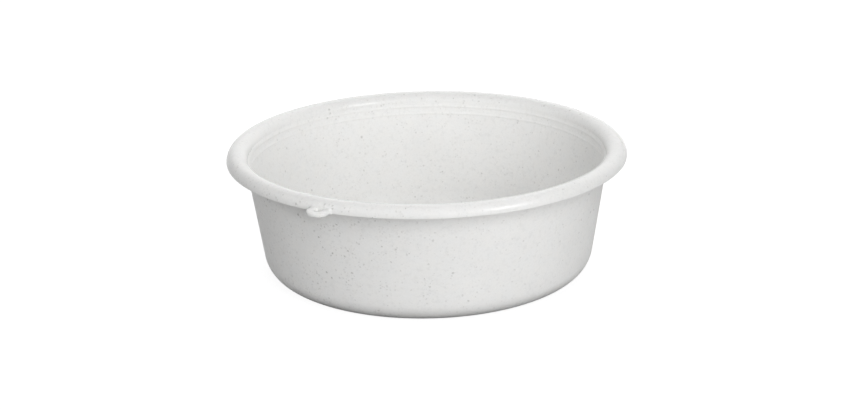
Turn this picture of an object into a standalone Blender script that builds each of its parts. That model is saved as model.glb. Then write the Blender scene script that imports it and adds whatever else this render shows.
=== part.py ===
"""A round plastic household basin: a tapered bowl under a half-round rim, with an eye to hang it by.

Metres, +Z up. The origin is the middle of the flat underside, on the basin's axis, and the
hanging eye points along -Y. The bowl, the rim and the eye are separate solids with a seat
gap between them.
"""

import math

import bmesh
import bpy
from mathutils import Matrix

MM = 0.001

# The whole basin
RIM_DIAMETER = 320 * MM  # across the lip
BASIN_HEIGHT = 101.3 * MM  # underside to the rim's crown
SEAT_GAP = 0.3 * MM  # between two solids that seat on each other

# Bowl
WALL_THICKNESS = 2.2 * MM  # measured level
FLOOR_THICKNESS = 2.2 * MM
WALL_DRAFT = math.radians(8.45)  # how far the wall leans out from upright
CORNER_REACH = 14.4 * MM  # the rounded corner's size inwards, under the wall
CORNER_RISE = 18.3 * MM  # the same corner's size upwards

# Beads, two fine raised rings on the wall's inner face
BEAD_COUNT = 2
BEAD_WIDTH = 3.0 * MM
BEAD_HEIGHT = 0.35 * MM
BEAD_DROP = 2.95 * MM  # from the rim's foot to the middle of the first bead
BEAD_PITCH = 6.2 * MM

# Rim, a half-round roll that ends in a lip turned down clear of the wall
ROLL_INNER_WIDTH = 8.9 * MM  # mouth to crown
ROLL_OUTER_WIDTH = 8.0 * MM  # crown to the lip's widest ring
ROLL_RISE = 8.0 * MM  # widest ring to crown
LIP_DROP = 0.4 * MM  # widest ring to the lip's lower edge
LIP_ROUND = 0.5 * MM  # rounding of the lip's lower edge

# Hanging eye, a flat loop that springs from the lip at both ends and has a round outer end
EYE_WIDTH = 17.4 * MM
EYE_REACH = 10.8 * MM  # out of the lip
EYE_THICKNESS = 3.6 * MM
EYE_DROP = 0.85 * MM  # its underside below the lip's lower edge
EYE_ROUND = 1.2 * MM  # rounding of its edges
EYE_ROOT = 6.0 * MM  # how deep the uncut loop reaches in from the lip's widest ring
HOLE_WIDTH = 5.2 * MM  # along the rim
HOLE_REACH = 4.5 * MM  # out of the lip
HOLE_CORNER = 1.8 * MM  # rounding of the hole's two outer corners

# Fineness of the round forms
RING_STEPS = 96
CORNER_STEPS = 7
ROLL_STEPS = 7
EDGE_STEPS = 2
BEAD_STEPS = 5
LOOP_STEPS = 20
HOLE_CORNER_STEPS = 5
EYE_ROUND_STEPS = 2

# Sizes that follow from the ones above
RIM_RADIUS = RIM_DIAMETER / 2
CROWN_RADIUS = RIM_RADIUS - ROLL_OUTER_WIDTH
MOUTH_RADIUS = CROWN_RADIUS - ROLL_INNER_WIDTH
WIDEST_HEIGHT = BASIN_HEIGHT - ROLL_RISE
LIP_HEIGHT = WIDEST_HEIGHT - LIP_DROP
LEAN = math.tan(WALL_DRAFT)

MERGE = 0.01 * MM


def clear_scene():
    for old in list(bpy.data.objects):
        bpy.data.objects.remove(old)


def new_collection(name):
    collection = bpy.data.collections.new(name)
    bpy.context.scene.collection.children.link(collection)
    return collection


def plastic(name, colour, roughness):
    material = bpy.data.materials.new(name)
    material.use_nodes = True
    shader = material.node_tree.nodes["Principled BSDF"]
    shader.inputs["Base Color"].default_value = (*colour, 1.0)
    shader.inputs["Roughness"].default_value = roughness
    shader.inputs["Metallic"].default_value = 0.0
    material.diffuse_color = (*colour, 1.0)
    return material


def arc(middle_x, middle_y, size_x, size_y, start, end, steps):
    """Points on an elliptical arc; in a turned profile x is the radius and y the height."""
    points = []
    for i in range(steps + 1):
        turn = math.radians(start + (end - start) * i / steps)
        points.append((middle_x + size_x * math.cos(turn), middle_y + size_y * math.sin(turn)))
    return points


def turned(name, profile, closed, collection, material=None):
    """A solid turned about Z from a profile of (r, z) points that runs down its outer side."""
    mesh = bpy.data.meshes.new(name)
    edges = [(i, i + 1) for i in range(len(profile) - 1)]
    if closed:
        edges.append((len(profile) - 1, 0))
    mesh.from_pydata([(r, 0.0, z) for r, z in profile], edges, [])
    solid = bpy.data.objects.new(name, mesh)
    collection.objects.link(solid)
    screw = solid.modifiers.new("turn", "SCREW")
    screw.axis = "Z"
    screw.angle = math.tau
    screw.steps = RING_STEPS
    screw.render_steps = RING_STEPS
    screw.use_merge_vertices = True
    screw.merge_threshold = MERGE
    screw.use_smooth_shade = True
    if material:
        mesh.materials.append(material)
    return solid


def wall_line(foot_radius, z):
    """Radius at height z of a wall face that passes foot_radius at the rim's foot."""
    return foot_radius - LEAN * (WIDEST_HEIGHT - z)


def corner_arc(foot_radius, size_r, size_z):
    """The rounded corner under a wall face, from where it leaves the wall to the floor."""
    leave = math.atan2(LEAN * size_z, size_r)
    leave_z = CORNER_RISE - size_z * math.sin(leave)
    middle_r = wall_line(foot_radius, leave_z) - size_r * math.cos(leave)
    return arc(middle_r, CORNER_RISE, size_r, size_z, -math.degrees(leave), -90, CORNER_STEPS)


def bead_points(number):
    """One bead on the wall's inner face, from its lower edge to its upper edge."""
    middle_z = WIDEST_HEIGHT - BEAD_DROP - BEAD_PITCH * number
    points = []
    for i in range(BEAD_STEPS + 1):
        across = 2 * i / BEAD_STEPS - 1
        swell = (1 + math.cos(math.pi * across)) / 2
        z = middle_z + across * BEAD_WIDTH / 2
        points.append((wall_line(MOUTH_RADIUS, z) - BEAD_HEIGHT * swell, z))
    return points


def make_bowl(collection):
    """Wall and floor in one solid, because it holds water, with the two beads inside."""
    top_z = WIDEST_HEIGHT - SEAT_GAP
    outer_foot = MOUTH_RADIUS + WALL_THICKNESS
    outside = [(wall_line(outer_foot, top_z), top_z)]
    outside += corner_arc(outer_foot, CORNER_REACH, CORNER_RISE)
    outside.append((0.0, 0.0))
    inner_reach = CORNER_REACH - WALL_THICKNESS
    inner_rise = CORNER_RISE - FLOOR_THICKNESS
    inside = [(0.0, FLOOR_THICKNESS)]
    inside += reversed(corner_arc(MOUTH_RADIUS, inner_reach, inner_rise))
    for number in reversed(range(BEAD_COUNT)):
        inside += bead_points(number)
    inside.append((wall_line(MOUTH_RADIUS, top_z), top_z))
    material = plastic("bowl_plastic", (0.81, 0.81, 0.80), 0.55)
    profile = outside + inside
    profile.append(profile[0])
    return turned("bowl", profile, False, collection, material)


def make_rim(collection):
    """The half-round roll: outer face down to the lip, lower edge, and back up inside it."""
    lip_inner = RIM_RADIUS - WALL_THICKNESS
    round_size = min(LIP_ROUND, WALL_THICKNESS / 2)
    edge_z = LIP_HEIGHT + round_size
    hollow_rise = ROLL_RISE - WALL_THICKNESS
    profile = arc(CROWN_RADIUS, WIDEST_HEIGHT, ROLL_OUTER_WIDTH, ROLL_RISE, 90, 0, ROLL_STEPS)
    profile += arc(RIM_RADIUS - round_size, edge_z, round_size, round_size, 0, -90, EDGE_STEPS)
    profile += arc(lip_inner + round_size, edge_z, round_size, round_size, -90, -180, EDGE_STEPS)
    profile += arc(CROWN_RADIUS, WIDEST_HEIGHT, lip_inner - CROWN_RADIUS, hollow_rise, 0, 90, ROLL_STEPS)
    hollow_inner = ROLL_INNER_WIDTH - WALL_THICKNESS
    profile += arc(CROWN_RADIUS, WIDEST_HEIGHT, hollow_inner, hollow_rise, 90, 180, ROLL_STEPS)[1:]
    profile += arc(CROWN_RADIUS, WIDEST_HEIGHT, ROLL_INNER_WIDTH, ROLL_RISE, 180, 90, ROLL_STEPS)[:-1]
    material = plastic("rim_plastic", (0.82, 0.82, 0.81), 0.3)
    return turned("rim", profile, True, collection, material)


def make_lip_clearance(collection):
    """What the eye's root is cut back by: the space inside the roll's outer face and a seat gap."""
    outer = ROLL_OUTER_WIDTH + SEAT_GAP
    profile = arc(CROWN_RADIUS, WIDEST_HEIGHT, outer, ROLL_RISE + SEAT_GAP, 90, 0, ROLL_STEPS)
    below = LIP_HEIGHT - EYE_DROP - EYE_THICKNESS
    profile += [(RIM_RADIUS + SEAT_GAP, below), (CROWN_RADIUS, below)]
    cutter = turned("lip_clearance", profile, True, collection)
    cutter.hide_render = True
    cutter.display_type = "WIRE"
    return cutter


def add_outline(curve, points):
    spline = curve.splines.new("POLY")
    spline.points.add(len(points) - 1)
    for point, (x, y) in zip(spline.points, points):
        point.co = (x, y, 0.0, 1.0)
    spline.use_cyclic_u = True


def loop_outline(round_size):
    """The loop's outer edge seen from above: straight flanks out of the lip, then a round end."""
    half = EYE_WIDTH / 2 - round_size
    end_size = min(EYE_WIDTH / 2, EYE_REACH) - round_size
    end_y = RIM_RADIUS + EYE_REACH - round_size - end_size
    root_y = RIM_RADIUS - EYE_ROOT
    return [(half, -root_y), (-half, -root_y)] + arc(0.0, -end_y, half, end_size, 180, 360, LOOP_STEPS)


def hole_outline(round_size):
    """The hole seen from above: open to the lip, with two round corners at its outer end."""
    half = HOLE_WIDTH / 2 + round_size
    end_y = RIM_RADIUS + HOLE_REACH + round_size
    root_y = RIM_RADIUS - EYE_ROOT / 2
    corner = min(HOLE_CORNER, HOLE_WIDTH / 2, HOLE_REACH) + round_size
    steps = HOLE_CORNER_STEPS
    points = [(half, -root_y), (-half, -root_y)]
    points += arc(corner - half, corner - end_y, corner, corner, 180, 270, steps)
    points += arc(half - corner, corner - end_y, corner, corner, 270, 360, steps)
    return points


def make_eye(collection, clearance):
    """A flat outline with its hole, given its thickness and rounded edges, cut back to the lip."""
    strand = min(EYE_REACH - HOLE_REACH, (EYE_WIDTH - HOLE_WIDTH) / 2)
    round_size = min(EYE_ROUND, EYE_THICKNESS / 3, strand / 3)
    curve = bpy.data.curves.new("eye_outline", "CURVE")
    curve.dimensions = "2D"
    curve.fill_mode = "BOTH"
    curve.extrude = EYE_THICKNESS / 2 - round_size
    curve.bevel_depth = round_size
    curve.bevel_resolution = EYE_ROUND_STEPS
    add_outline(curve, loop_outline(round_size))
    add_outline(curve, hole_outline(round_size))
    flat = bpy.data.objects.new("eye_outline", curve)
    collection.objects.link(flat)
    flat.location.z = LIP_HEIGHT - EYE_DROP + EYE_THICKNESS / 2
    bpy.context.view_layer.update()
    evaluated = flat.evaluated_get(bpy.context.evaluated_depsgraph_get())
    mesh = bpy.data.meshes.new_from_object(evaluated)
    mesh.name = "hanging_eye"
    eye = bpy.data.objects.new("hanging_eye", mesh)
    eye.matrix_world = flat.matrix_world.copy()
    bpy.data.objects.remove(flat)
    weld_caps(mesh)
    mesh.materials.clear()
    mesh.materials.append(plastic("eye_plastic", (0.82, 0.82, 0.81), 0.3))
    collection.objects.link(eye)
    cut = eye.modifiers.new("seat_on_lip", "BOOLEAN")
    cut.operation = "DIFFERENCE"
    cut.solver = "EXACT"
    cut.object = clearance
    mesh.shade_smooth()
    mesh.set_sharp_from_angle(angle=math.radians(40))
    return eye


def weld_caps(mesh):
    work = bmesh.new()
    work.from_mesh(mesh)
    bmesh.ops.remove_doubles(work, verts=work.verts, dist=MERGE)
    bmesh.ops.recalc_face_normals(work, faces=work.faces)
    work.to_mesh(mesh)
    work.free()


def main():
    clear_scene()
    parts = new_collection("plastic_basin")
    cutters = new_collection("cutters")
    clearance = make_lip_clearance(cutters)
    basin = bpy.data.objects.new("basin", None)
    basin.matrix_world = Matrix.Identity(4)
    parts.objects.link(basin)
    for piece in (make_bowl(parts), make_rim(parts), make_eye(parts, clearance)):
        piece.parent = basin


main()
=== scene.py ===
"""The looks of a round plastic basin: speckled off-white plastic on a smooth bowl, rim and hanging eye.

Metres, +Z up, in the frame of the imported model. The basin stands at the origin and its hanging
eye points along -Y. Three turned or lofted pieces stand for the three solids of the model.
"""

import math

import bmesh
import bpy
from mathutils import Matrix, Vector


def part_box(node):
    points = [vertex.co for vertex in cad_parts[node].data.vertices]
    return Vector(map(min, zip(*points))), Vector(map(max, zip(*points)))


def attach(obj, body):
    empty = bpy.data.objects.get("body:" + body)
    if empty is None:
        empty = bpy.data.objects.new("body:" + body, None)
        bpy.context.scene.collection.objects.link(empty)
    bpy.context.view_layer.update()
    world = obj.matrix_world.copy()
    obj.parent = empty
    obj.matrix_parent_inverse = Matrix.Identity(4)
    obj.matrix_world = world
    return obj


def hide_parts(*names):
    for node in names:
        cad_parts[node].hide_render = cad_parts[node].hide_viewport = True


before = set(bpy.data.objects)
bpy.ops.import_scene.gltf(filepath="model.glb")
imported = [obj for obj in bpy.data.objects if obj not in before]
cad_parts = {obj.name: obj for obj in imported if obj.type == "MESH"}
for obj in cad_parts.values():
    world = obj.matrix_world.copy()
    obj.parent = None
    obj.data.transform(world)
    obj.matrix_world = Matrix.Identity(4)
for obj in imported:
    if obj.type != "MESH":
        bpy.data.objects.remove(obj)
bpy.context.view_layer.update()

MM = 0.001

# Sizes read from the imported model
RIM_LOW, RIM_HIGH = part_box("rim")
EYE_LOW, EYE_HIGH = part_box("hanging_eye")
RIM_RADIUS = RIM_HIGH.x
BASIN_HEIGHT = RIM_HIGH.z
LIP_HEIGHT = RIM_LOW.z

# Bowl
WALL_THICKNESS = 2.2 * MM
WALL_DRAFT = math.radians(8.45)  # how far the wall leans out from upright
CORNER_REACH = 14.4 * MM  # how far the rounded bottom corner reaches inwards
CORNER_RISE = 18.3 * MM
BEAD_COUNT = 2
BEAD_WIDTH = 3.0 * MM
BEAD_HEIGHT = 0.35 * MM
BEAD_DROP = 2.95 * MM  # from the rim's foot down to the middle of the first bead
BEAD_PITCH = 6.2 * MM

# Gate mark, where the plastic flowed into the mould, in the middle of the underside
GATE_RADIUS = 7.0 * MM
GATE_DEPTH = 0.5 * MM
GATE_EDGE = 0.8 * MM
NUB_RADIUS = 1.6 * MM
NUB_HEIGHT = 0.35 * MM

# Rim
ROLL_INNER_WIDTH = 8.9 * MM  # from the mouth to the crown
ROLL_OUTER_WIDTH = 8.0 * MM  # from the crown to the lip's outer face
ROLL_RISE = 8.0 * MM
LIP_ROUND = 0.7 * MM

# Hanging eye
HOLE_WIDTH = 5.2 * MM  # along the lip
HOLE_REACH = 4.5 * MM  # out of the lip
HOLE_CORNER = 2.2 * MM
EYE_FLAT = 0.8 * MM  # half of the straight stretch at the loop's front
FLARE_SIDE = 1.5 * MM  # how far the loop widens where it springs from the lip
FLARE_HOLE = 0.9 * MM  # how far its hole narrows there
FLARE_TOP = 0.5 * MM  # how far its top face rises there
EYE_SLOPE = 0.7 * MM  # how far its top face falls from there to its front
EYE_BURIED = 1.3 * MM  # how far its ends reach into the lip
EYE_SQUARENESS = 3.0  # 2 is an elliptical strand, more is squarer

# Fineness
RING_STEPS = 288
CORNER_STEPS = 28
ROLL_STEPS = 56
BEAD_STEPS = 14
EDGE_STEPS = 10
EYE_LENGTH_STEPS = 84
EYE_ROUND_STEPS = 40
SHARP_ANGLE = math.radians(50)  # edges that turn more than this stay sharp
MERGE = 0.002 * MM  # turned points that lie closer than this become one

# What follows from the sizes
CROWN_RADIUS = RIM_RADIUS - ROLL_OUTER_WIDTH
MOUTH_RADIUS = CROWN_RADIUS - ROLL_INNER_WIDTH
WIDEST_HEIGHT = BASIN_HEIGHT - ROLL_RISE  # of the roll's widest ring and of the rim's foot
LEAN = math.tan(WALL_DRAFT)

# Camera, fitted to the photograph; its lens and sensor are in millimetres
CAMERA_PLACE = Vector((0.6126, -1.09836, 0.48988))
CAMERA_TURN_DEGREES = (70.6243, 1.1595, 28.7686)
CAMERA_LENS = 69.1156
SENSOR_WIDTH = 36.0


def arc(middle_r, middle_z, size_r, size_z, start, end, steps):
    """Points (r, z) on an elliptical arc between two turns in degrees: 0 is outwards, 90 is up."""
    points = []
    for i in range(steps + 1):
        turn = math.radians(start + (end - start) * i / steps)
        points.append((middle_r + size_r * math.cos(turn), middle_z + size_z * math.sin(turn)))
    return points


def turned(name, profile, closed):
    """A mesh turned about Z from (r, z) points that run down its outer side."""
    mesh = bpy.data.meshes.new(name)
    edges = [(i, i + 1) for i in range(len(profile) - 1)]
    if closed:
        edges.append((len(profile) - 1, 0))
    mesh.from_pydata([(r, 0.0, z) for r, z in profile], edges, [])
    piece = bpy.data.objects.new(name, mesh)
    bpy.context.scene.collection.objects.link(piece)
    screw = piece.modifiers.new("turn", "SCREW")
    screw.axis = "Z"
    screw.angle = math.tau
    screw.steps = RING_STEPS
    screw.render_steps = RING_STEPS
    screw.use_merge_vertices = True
    screw.merge_threshold = MERGE
    screw.use_smooth_shade = True
    return settled(piece)


def settled(piece):
    """The piece with its modifiers applied, smooth apart from its sharp edges."""
    bpy.context.view_layer.update()
    evaluated = piece.evaluated_get(bpy.context.evaluated_depsgraph_get())
    mesh = bpy.data.meshes.new_from_object(evaluated)
    mesh.name = piece.name
    piece.modifiers.clear()
    piece.data = mesh
    smooth(mesh)
    return piece


def smooth(mesh):
    """Shades a mesh smooth apart from its sharp edges."""
    mesh.shade_smooth()
    mesh.set_sharp_from_angle(angle=SHARP_ANGLE)


def wall_line(foot_radius, z):
    """A wall face's radius at a height, from its radius at the rim's foot."""
    return foot_radius - LEAN * (WIDEST_HEIGHT - z)


def corner_arc(foot_radius, size_r, size_z):
    """The rounded corner under a wall face, from where it leaves the wall to the floor."""
    leave = math.atan2(LEAN * size_z, size_r)
    leave_z = CORNER_RISE - size_z * math.sin(leave)
    middle_r = wall_line(foot_radius, leave_z) - size_r * math.cos(leave)
    return arc(middle_r, CORNER_RISE, size_r, size_z, -math.degrees(leave), -90, CORNER_STEPS)


def bead_points(number):
    """One raised ring on the inner wall face, from its lower to its upper edge."""
    middle_z = WIDEST_HEIGHT - BEAD_DROP - BEAD_PITCH * number
    points = []
    for i in range(BEAD_STEPS + 1):
        across = 2 * i / BEAD_STEPS - 1
        swell = (1 + math.cos(math.pi * across)) / 2
        z = middle_z + across * BEAD_WIDTH / 2
        points.append((wall_line(MOUTH_RADIUS, z) - BEAD_HEIGHT * swell, z))
    return points


def gate_mark():
    """A shallow round dish in the underside with the stub of the gate in it, from its edge to the axis."""
    points = []
    for i in range(EDGE_STEPS + 1):
        along = i / EDGE_STEPS
        ease = (1 - math.cos(math.pi * along)) / 2
        points.append((GATE_RADIUS - GATE_EDGE * along, GATE_DEPTH * ease))
    for i in range(EDGE_STEPS + 1):
        turn = math.pi / 2 * i / EDGE_STEPS
        points.append((NUB_RADIUS * math.cos(turn), GATE_DEPTH - NUB_HEIGHT * math.sin(turn)))
    points[-1] = (0.0, points[-1][1])
    return points


def make_bowl():
    """Down the outer face, across the underside to the axis, and back along floor and inner face."""
    outer_foot = MOUTH_RADIUS + WALL_THICKNESS
    profile = [(outer_foot, WIDEST_HEIGHT)]
    profile += corner_arc(outer_foot, CORNER_REACH, CORNER_RISE)
    profile += gate_mark()
    profile.append((0.0, WALL_THICKNESS))
    inner = corner_arc(MOUTH_RADIUS, CORNER_REACH - WALL_THICKNESS, CORNER_RISE - WALL_THICKNESS)
    profile += reversed(inner)
    for number in reversed(range(BEAD_COUNT)):
        profile += bead_points(number)
    profile.append((MOUTH_RADIUS, WIDEST_HEIGHT))
    profile.append(profile[0])
    return turned("bowl_shell", profile, False)


def make_rim():
    """The roll, whose inner side leaves the bowl's wall line without a crease."""
    lip_inner = RIM_RADIUS - WALL_THICKNESS
    edge_z = LIP_HEIGHT + LIP_ROUND
    hollow_inner = ROLL_INNER_WIDTH - WALL_THICKNESS
    hollow_rise = ROLL_RISE - WALL_THICKNESS
    middle = (CROWN_RADIUS, WIDEST_HEIGHT)
    profile = arc(*middle, ROLL_OUTER_WIDTH, ROLL_RISE, 90, 0, ROLL_STEPS)
    profile += arc(RIM_RADIUS - LIP_ROUND, edge_z, LIP_ROUND, LIP_ROUND, 0, -90, EDGE_STEPS)[1:]
    profile += arc(lip_inner + LIP_ROUND, edge_z, LIP_ROUND, LIP_ROUND, -90, -180, EDGE_STEPS)
    profile += arc(*middle, lip_inner - CROWN_RADIUS, hollow_rise, 0, 90, ROLL_STEPS)
    profile += arc(*middle, hollow_inner, hollow_rise, 90, 180, ROLL_STEPS)[1:]
    leave = math.atan2(LEAN * ROLL_RISE, ROLL_INNER_WIDTH)
    leave_z = WIDEST_HEIGHT + ROLL_RISE * math.sin(leave)
    inner_width = (CROWN_RADIUS - wall_line(MOUTH_RADIUS, leave_z)) / math.cos(leave)
    profile.append((MOUTH_RADIUS, WIDEST_HEIGHT))
    profile += arc(*middle, inner_width, ROLL_RISE, 180 - math.degrees(leave), 90, ROLL_STEPS)[:-1]
    return turned("rim_roll", profile, True)


def flare(size, distance):
    """How much a quarter-round fillet of this size adds at a distance from the face it meets."""
    if distance >= size:
        return 0.0
    return size - math.sqrt(size ** 2 - (size - max(distance, 0.0)) ** 2)


def lip_setback(x, z):
    """How far the lip's face lies behind its foremost line, at this side distance and height."""
    rise = max(z - WIDEST_HEIGHT, 0.0) / ROLL_RISE
    radius = CROWN_RADIUS + ROLL_OUTER_WIDTH * math.sqrt(1 - rise ** 2)
    return RIM_RADIUS - math.sqrt(radius ** 2 - x ** 2)


def loop_side(half_width, reach, corner, along):
    """A point on a U-shaped outline that opens towards the lip: along runs 0 to 1, left to right."""
    straight = reach - corner + EYE_BURIED
    flat = half_width - corner
    bend = corner * math.pi / 2
    length = 2 * (straight + bend + flat)
    way = along * length
    mirror = 1
    if way > length / 2:
        way = length - way
        mirror = -1
    if way < straight:
        return Vector((-mirror * half_width, way - EYE_BURIED))
    way -= straight
    if way < bend:
        turn = way / corner
        x = flat + corner * math.cos(turn)
        return Vector((-mirror * x, reach - corner + corner * math.sin(turn)))
    way -= bend
    return Vector((-mirror * (flat - way), reach))


def squared(value):
    """Pushes a sine or cosine outwards, so that the section drawn with it gets squarer."""
    return math.copysign(abs(value) ** (2 / EYE_SQUARENESS), value)


def strand_ring(middle, across, top):
    """The loop's section about its middle, where across is half of its width.

    Near the lip it is shifted so that it follows the lip's curve.
    """
    half_height = (top - EYE_LOW.z) / 2
    middle_z = (top + EYE_LOW.z) / 2
    ring = []
    for j in range(EYE_ROUND_STEPS):
        turn = math.tau * j / EYE_ROUND_STEPS
        flat = middle + across * squared(math.cos(turn))
        height = middle_z + half_height * squared(math.sin(turn))
        near_lip = 1 - min(max(flat.y / HOLE_REACH, 0.0), 1.0)
        place_y = flat.y - lip_setback(flat.x, height) * near_lip
        ring.append(Vector((flat.x, -RIM_RADIUS - place_y, height)))
    return ring


def make_eye():
    """A flat loop lofted between its outer edge and its hole, flared where it springs from the lip."""
    half = (EYE_HIGH.x - EYE_LOW.x) / 2
    reach = -EYE_LOW.y - RIM_RADIUS
    front = (reach + HOLE_REACH) / 2
    rings = []
    for i in range(EYE_LENGTH_STEPS + 1):
        along = i / EYE_LENGTH_STEPS
        outer = loop_side(half, reach, half - EYE_FLAT, along)
        inner = loop_side(HOLE_WIDTH / 2, HOLE_REACH, HOLE_CORNER, along)
        side = 1 if along > 0.5 else -1
        outer.x += side * flare(FLARE_SIDE, outer.y)
        inner.x -= side * flare(FLARE_HOLE, inner.y)
        middle = (outer + inner) / 2
        top = EYE_HIGH.z + flare(FLARE_TOP, middle.y) + EYE_SLOPE * (1 - max(middle.y, 0.0) / front)
        rings.append(strand_ring(middle, (outer - inner) / 2, top))
    return lofted("eye_loop", rings)


def lofted(name, rings):
    """A mesh through rings of equally many points, closed at its first and last ring."""
    work = bmesh.new()
    loops = [[work.verts.new(point) for point in ring] for ring in rings]
    count = len(loops[0])
    for near, far in zip(loops, loops[1:]):
        for j in range(count):
            k = (j + 1) % count
            work.faces.new((near[j], near[k], far[k], far[j]))
    work.faces.new(loops[0])
    work.faces.new(loops[-1])
    bmesh.ops.recalc_face_normals(work, faces=work.faces)
    mesh = bpy.data.meshes.new(name)
    work.to_mesh(mesh)
    work.free()
    smooth(mesh)
    piece = bpy.data.objects.new(name, mesh)
    bpy.context.scene.collection.objects.link(piece)
    return piece


class Wiring:
    """Short ways to add nodes to a material or the world.

    A value is a number, a tuple or another node's output.
    """

    def __init__(self, owner):
        self.tree = owner.node_tree

    def node(self, kind, **settings):
        made = self.tree.nodes.new(kind)
        for key, value in settings.items():
            setattr(made, key, value)
        return made

    def feed(self, value, socket):
        """Joins a node's output to a socket, or sets the number, vector or colour there."""
        if isinstance(value, bpy.types.NodeSocket):
            self.tree.links.new(value, socket)
        elif socket.type == "RGBA":
            socket.default_value = (*value, 1.0)
        else:
            socket.default_value = value

    def fed(self, made, *values):
        """The first output of a node whose first inputs take these values."""
        for socket, value in zip(made.inputs, values):
            self.feed(value, socket)
        return made.outputs[0]

    def maths(self, operation, *values):
        return self.fed(self.node("ShaderNodeMath", operation=operation), *values)

    def vector(self, operation, first, second):
        return self.fed(self.node("ShaderNodeVectorMath", operation=operation), first, second)

    def scaled(self, vector, factor):
        made = self.node("ShaderNodeVectorMath", operation="SCALE")
        self.feed(factor, made.inputs["Scale"])
        return self.fed(made, vector)

    def distance(self, place, other):
        made = self.node("ShaderNodeVectorMath", operation="DISTANCE")
        self.fed(made, place, other)
        return made.outputs["Value"]

    def noise(self, place, cell, detail=2.0, roughness=0.5):
        """The outputs of a noise whose patches are about as large as the cell."""
        made = self.node("ShaderNodeTexNoise", noise_dimensions="3D")
        self.feed(place, made.inputs["Vector"])
        self.feed(1 / cell, made.inputs["Scale"])
        self.feed(detail, made.inputs["Detail"])
        self.feed(roughness, made.inputs["Roughness"])
        return made.outputs

    def ramp(self, value, low, high, to_low=0.0, to_high=1.0):
        """A smooth step of value between low and high."""
        made = self.node("ShaderNodeMapRange", interpolation_type="SMOOTHSTEP")
        return self.fed(made, value, low, high, to_low, to_high)

    def mix(self, factor, first, second):
        """The colour between two others, through the node's sockets for colours."""
        made = self.node("ShaderNodeMix", data_type="RGBA")
        self.feed(factor, made.inputs[0])
        self.feed(first, made.inputs[6])
        self.feed(second, made.inputs[7])
        return made.outputs[2]


# Plastic
PALE_WARM = (0.825, 0.821, 0.808)
PALE_COOL = (0.817, 0.818, 0.811)
FLECK_DARK = (0.235, 0.225, 0.205)
PLASTIC_IOR = 1.49
WALL_ROUGHNESS = 0.55
RIM_ROUGHNESS = 0.20
WALL_SPECULAR = 0.02
RIM_SPECULAR = 0.15
RIM_PAINTED_SHADE = 0.98  # painted shade: how bright the rim's plastic is drawn beside the wall's
FINISH_AND_SHADE_FROM = 84 * MM  # between these heights the wall's finish turns into the rim's, and the rim's painted shade sets in
FINISH_AND_SHADE_TO = 97 * MM

# Uneven hue, tone, gloss and surface: sizes of the patches, and how much they change
HUE_CELL = 9 * MM
HUE_DETAIL = 4.0
HUE_ROUGHNESS = 0.6
HUE_FROM = 0.32
HUE_TO = 0.68
GRAIN_CELL = 1.6 * MM
GRAIN_ROUGHNESS = 0.7
GRAIN_SWING = 0.10
GRAIN_LEAST = 0.96
STAIN_CELL = 3.4 * MM
STAIN_FROM = 0.50
STAIN_TO = 0.76
STAIN_TONE = 0.95
CLOUD_CELL = 34 * MM
CLOUD_SWING = 0.05
GLOSS_CELL = 5 * MM
GLOSS_DETAIL = 3.0
GLOSS_SWING = 0.10
DIMPLE_CELL = 2.4 * MM
DIMPLE_DETAIL = 3.0
DIMPLE_DEPTH = 0.02 * MM
DIMPLE_STRENGTH = 0.35

# Flecks, coarse to fine: cell size, fleck radius, share of cells that hold one, depth of tone
FLECK_LAYERS = (
    (3.6 * MM, 1.45 * MM, 0.35, 0.52),
    (2.7 * MM, 1.25 * MM, 0.55, 0.32),
    (2.2 * MM, 1.05 * MM, 0.62, 0.17),
)
SIZE_SPREAD = 0.55  # the share of a fleck's radius that differs from one to the next
TONE_SPREAD = 0.65  # the share of its depth of tone that does
CORE_SHARE = 0.3  # the share of its radius that has its full tone
RAGGED_CELL = 1.8 * MM
RAGGED_DETAIL = 1.0
RAGGED_SHIFT = 1.6 * MM  # how far the flecks' outlines are pushed about
NOISE_MIDDLE = (0.5, 0.5, 0.5)

# The flecks crowd in patches
CROWD_CELL = 15 * MM
CROWD_FROM = 0.38
CROWD_TO = 0.62
CROWD_LEAST = 0.12

# The flecks gather and darken towards one side of the moulding
DRIFT_PLACE = (-20 * MM, -139 * MM, 40 * MM)
DRIFT_NEAR = 60 * MM
DRIFT_FAR = 160 * MM
DRIFT_COUNT_SHARE = 0.52
DRIFT_TONE_SHARE = 0.55
DRIFT_END = 260 * MM  # beyond DRIFT_FAR they come back a little
DRIFT_RETURN = 0.20


def ragged_place(wiring, place):
    """The place, pushed about a little, so that the flecks get ragged outlines."""
    push = wiring.noise(place, RAGGED_CELL, RAGGED_DETAIL)["Color"]
    centred = wiring.vector("SUBTRACT", push, NOISE_MIDDLE)
    return wiring.vector("ADD", place, wiring.scaled(centred, RAGGED_SHIFT))


def drawn(wiring, chance, largest, spread):
    """The largest value, made smaller by chance by up to this share of it."""
    return wiring.maths("MULTIPLY_ADD", chance, spread * largest, (1 - spread) * largest)


def fleck_layer(wiring, place, crowding, strength, cell, radius, share, depth):
    """How strongly one layer of flecks tints the plastic: round to ragged spots, no two alike."""
    cells = wiring.node("ShaderNodeTexVoronoi", voronoi_dimensions="3D", feature="F1")
    wiring.feed(place, cells.inputs["Vector"])
    wiring.feed(1 / cell, cells.inputs["Scale"])
    wiring.feed(1.0, cells.inputs["Randomness"])
    draw = wiring.node("ShaderNodeSeparateColor")
    wiring.feed(cells.outputs["Color"], draw.inputs["Color"])
    size = drawn(wiring, draw.outputs["Red"], radius / cell, SIZE_SPREAD)
    core = wiring.maths("MULTIPLY", size, CORE_SHARE)
    spot = wiring.ramp(cells.outputs["Distance"], size, core)
    limit = wiring.maths("MULTIPLY", crowding, share)
    held = wiring.maths("LESS_THAN", draw.outputs["Green"], limit)
    tone = drawn(wiring, draw.outputs["Blue"], depth, TONE_SPREAD)
    shown = wiring.maths("MULTIPLY", wiring.maths("MULTIPLY", spot, held), strength)
    return wiring.maths("MULTIPLY", shown, tone)


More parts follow.
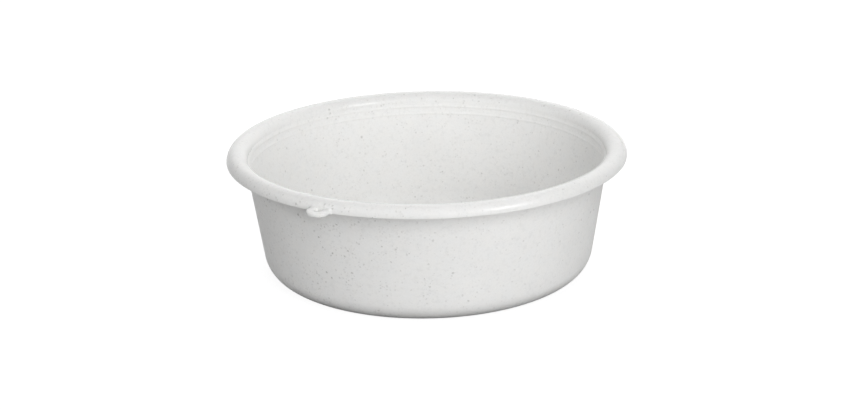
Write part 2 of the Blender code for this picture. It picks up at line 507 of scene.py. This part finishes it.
def flecks(wiring, place):
    """How strongly all the flecks together tint the plastic."""
    ragged = ragged_place(wiring, place)
    away = wiring.distance(place, DRIFT_PLACE)
    again = wiring.ramp(away, DRIFT_FAR, DRIFT_END, 0.0, DRIFT_RETURN)
    count = wiring.maths("ADD", wiring.ramp(away, DRIFT_NEAR, DRIFT_FAR, 1.0, DRIFT_COUNT_SHARE), again)
    strength = wiring.maths("ADD", wiring.ramp(away, DRIFT_NEAR, DRIFT_FAR, 1.0, DRIFT_TONE_SHARE), again)
    patches = wiring.ramp(wiring.noise(place, CROWD_CELL)["Fac"], CROWD_FROM, CROWD_TO, CROWD_LEAST, 1.0)
    crowding = wiring.maths("MULTIPLY", patches, count)
    total = 0.0
    for layer in FLECK_LAYERS:
        total = wiring.maths("MAXIMUM", total, fleck_layer(wiring, ragged, crowding, strength, *layer))
    return total


def by_height(wiring, rise, wall_value, rim_value):
    """The wall's value low down, which turns into the rim's between the two finish and shade heights."""
    return wiring.ramp(rise, FINISH_AND_SHADE_FROM, FINISH_AND_SHADE_TO, wall_value, rim_value)


def plain_colour(wiring, place, rise):
    """The plastic's off-white without its flecks, with a painted shade that darkens the rim a little."""
    mottle = wiring.noise(place, HUE_CELL, HUE_DETAIL, HUE_ROUGHNESS)["Fac"]
    pale = wiring.mix(wiring.ramp(mottle, HUE_FROM, HUE_TO), PALE_COOL, PALE_WARM)
    grain = wiring.noise(place, GRAIN_CELL, roughness=GRAIN_ROUGHNESS)["Fac"]
    blotch = wiring.noise(place, STAIN_CELL)["Fac"]
    cloud = wiring.noise(place, CLOUD_CELL)["Fac"]
    shade = wiring.maths("MULTIPLY_ADD", grain, GRAIN_SWING, GRAIN_LEAST)
    for tone in (
        wiring.ramp(blotch, STAIN_FROM, STAIN_TO, 1.0, STAIN_TONE),
        wiring.maths("MULTIPLY_ADD", cloud, CLOUD_SWING, 1 - CLOUD_SWING / 2),
        # painted shade: the rim is drawn a little darker than the wall
        by_height(wiring, rise, 1.0, RIM_PAINTED_SHADE),
    ):
        shade = wiring.maths("MULTIPLY", shade, tone)
    return wiring.scaled(pale, shade)


def dimples(wiring, place):
    """The fine unevenness of the moulded surface, as a normal."""
    bump = wiring.node("ShaderNodeBump")
    wiring.feed(DIMPLE_STRENGTH, bump.inputs["Strength"])
    wiring.feed(DIMPLE_DEPTH, bump.inputs["Distance"])
    wiring.feed(wiring.noise(place, DIMPLE_CELL, DIMPLE_DETAIL)["Fac"], bump.inputs["Height"])
    return bump.outputs["Normal"]


def speckled_plastic(name):
    """Off-white moulded plastic with grey-brown flecks, satin on the wall and glossier on the rim, with
    painted shade on the rim.
    """
    material = bpy.data.materials.new(name)
    material.use_nodes = True
    wiring = Wiring(material)
    shader = material.node_tree.nodes["Principled BSDF"]
    place = wiring.node("ShaderNodeTexCoord").outputs["Object"]
    axes = wiring.node("ShaderNodeSeparateXYZ")
    wiring.feed(place, axes.inputs[0])
    rise = axes.outputs["Z"]

    colour = wiring.mix(flecks(wiring, place), plain_colour(wiring, place, rise), FLECK_DARK)
    wiring.feed(colour, shader.inputs["Base Color"])
    uneven = wiring.noise(place, GLOSS_CELL, GLOSS_DETAIL)["Fac"]
    swing = wiring.maths("MULTIPLY_ADD", uneven, GLOSS_SWING, -GLOSS_SWING / 2)
    satin = by_height(wiring, rise, WALL_ROUGHNESS, RIM_ROUGHNESS)
    wiring.feed(wiring.maths("ADD", satin, swing), shader.inputs["Roughness"])
    wiring.feed(by_height(wiring, rise, WALL_SPECULAR, RIM_SPECULAR), shader.inputs["Specular IOR Level"])
    wiring.feed(PLASTIC_IOR, shader.inputs["IOR"])
    wiring.feed(dimples(wiring, place), shader.inputs["Normal"])
    return material


# Light and room
AMBIENT = 0.10  # the world's strength as light, where 1 is its strength as a background
WHITE = (1.0, 1.0, 1.0)
FLOOR_SIZE = 12.0
FLOOR_MIDDLE = (0.0, 0.0, 0.0)

# The floor as the camera sees it: white, with the basin's shadow
WHITE_SHARE = 0.92  # how white it shows round the basin, without its lamplight
WHITE_FROM = 0.8  # from here outwards lamplight fades and it shows whiter by itself
WHITE_TO = 2.4
SHADOW_GREY = 0.16  # how strongly lamplight and shadow show on it

# The floor as it lights the basin, from its middle outwards: dark as painted shade close round the basin,
# then a pale ring, then grey
NEAR_SHADE_GREY = 0.02
NEAR_END = 0.125
RING_GREY = 0.68
RING_START = 0.158
RING_END = 0.17
FAR_GREY = 0.33
FAR_START = 0.36

# Lamps: azimuth and elevation in degrees, distance, width and height in metres, power in watts
LAMPS = {
    "key": (44.0, 33.0, 2.2, 1.1, 1.1, 17.0),
    "low_key": (44.0, 14.0, 2.2, 1.1, 0.7, 15.0),
    "top": (29.0, 85.0, 2.0, 0.9, 0.9, 7.0),
    "left_fill": (-56.0, 28.0, 2.2, 1.1, 1.1, 8.9),
    "right_fill": (75.0, 30.0, 2.2, 0.9, 0.9, 3.8),
    "back_fill": (179.0, 34.0, 2.2, 1.1, 1.1, 15.0),
    "far_fill": (-151.0, 28.0, 2.2, 1.1, 1.1, 20.0),
    "strip": (75.0, 30.0, 2.0, 0.9, 0.45, 29.0),
}
GLOSS_LAMP = "strip"


def add_lamps():
    """Lamps that face the origin; azimuth 0 is in front, on the eye's side, and 90 is on the right.

    One shows in gloss alone. The others stand for one soft surround and don't show in gloss.
    """
    for name, (azimuth, elevation, distance, width, height, power) in LAMPS.items():
        lamp = bpy.data.lights.new(name, "AREA")
        lamp.shape = "RECTANGLE"
        lamp.size = width
        lamp.size_y = height
        lamp.energy = power
        holder = bpy.data.objects.new(name, lamp)
        bpy.context.scene.collection.objects.link(holder)
        turn, tilt = math.radians(azimuth), math.radians(elevation)
        toward = Vector((math.sin(turn) * math.cos(tilt), -math.cos(turn) * math.cos(tilt), math.sin(tilt)))
        holder.location = toward * distance
        holder.rotation_euler = toward.to_track_quat("Z", "Y").to_euler()
        holder.visible_glossy = name == GLOSS_LAMP
        holder.visible_diffuse = name != GLOSS_LAMP


def seen_directly(wiring):
    """1 for rays from the camera and for rays that show the background in gloss or glass."""
    path = wiring.node("ShaderNodeLightPath")
    shown = wiring.maths("MAXIMUM", path.outputs["Is Camera Ray"], path.outputs["Is Glossy Ray"])
    return wiring.maths("MAXIMUM", shown, path.outputs["Is Transmission Ray"])


def set_world():
    world = bpy.data.worlds.new("studio")
    world.use_nodes = True
    bpy.context.scene.world = world
    wiring = Wiring(world)
    background = world.node_tree.nodes["Background"]
    wiring.feed(WHITE, background.inputs["Color"])
    strength = wiring.maths("MULTIPLY_ADD", seen_directly(wiring), 1 - AMBIENT, AMBIENT)
    wiring.feed(strength, background.inputs["Strength"])


def floor_material(name):
    """White with a shadow where it is seen directly, and a grey that lights the basin from below, with
    painted shade close round the basin.
    """
    material = bpy.data.materials.new(name)
    material.use_nodes = True
    wiring = Wiring(material)
    nodes = material.node_tree.nodes
    nodes.remove(nodes["Principled BSDF"])
    away = wiring.distance(wiring.node("ShaderNodeTexCoord").outputs["Object"], FLOOR_MIDDLE)

    whiteness = wiring.ramp(away, WHITE_FROM, WHITE_TO, WHITE_SHARE, 1.0)
    white = wiring.fed(wiring.node("ShaderNodeEmission"), WHITE, whiteness)
    shadow = wiring.fed(wiring.node("ShaderNodeBsdfDiffuse"), (SHADOW_GREY, SHADOW_GREY, SHADOW_GREY))
    shown = wiring.fed(wiring.node("ShaderNodeAddShader"), white, shadow)

    ring = wiring.ramp(away, RING_END, FAR_START, RING_GREY, FAR_GREY)
    # painted shade: the floor that lights the basin is dark close round it, then pale in a ring
    bounce = wiring.ramp(away, NEAR_END, RING_START, NEAR_SHADE_GREY, ring)
    grey = wiring.fed(wiring.node("ShaderNodeBsdfDiffuse"), bounce)

    either = wiring.fed(wiring.node("ShaderNodeMixShader"), seen_directly(wiring), grey, shown)
    wiring.feed(either, nodes["Material Output"].inputs["Surface"])
    return material


def make_floor():
    bpy.ops.mesh.primitive_plane_add(size=FLOOR_SIZE)
    floor = bpy.context.object
    floor.name = "studio_floor"
    floor.data.materials.append(floor_material("studio_floor"))


def set_camera():
    camera = bpy.data.cameras.new("camera")
    camera.sensor_width = SENSOR_WIDTH
    camera.lens = CAMERA_LENS
    holder = bpy.data.objects.new("camera", camera)
    bpy.context.scene.collection.objects.link(holder)
    holder.location = CAMERA_PLACE
    holder.rotation_euler = [math.radians(turn) for turn in CAMERA_TURN_DEGREES]
    bpy.context.scene.camera = holder


def main():
    set_camera()
    plastic = speckled_plastic("speckled_plastic")
    pieces = (
        (make_bowl(), "bowl", "wall_plastic"),
        (make_rim(), "rim", "rim_plastic"),
        (make_eye(), "hanging_eye", "rim_plastic"),
    )
    for piece, node, slot in pieces:
        piece.data.materials.clear()
        piece.data.materials.append(plastic)
        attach(piece, "root")
        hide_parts(node)
    make_floor()
    set_world()
    add_lamps()
    bpy.context.scene.view_settings.view_transform = "Standard"


main()
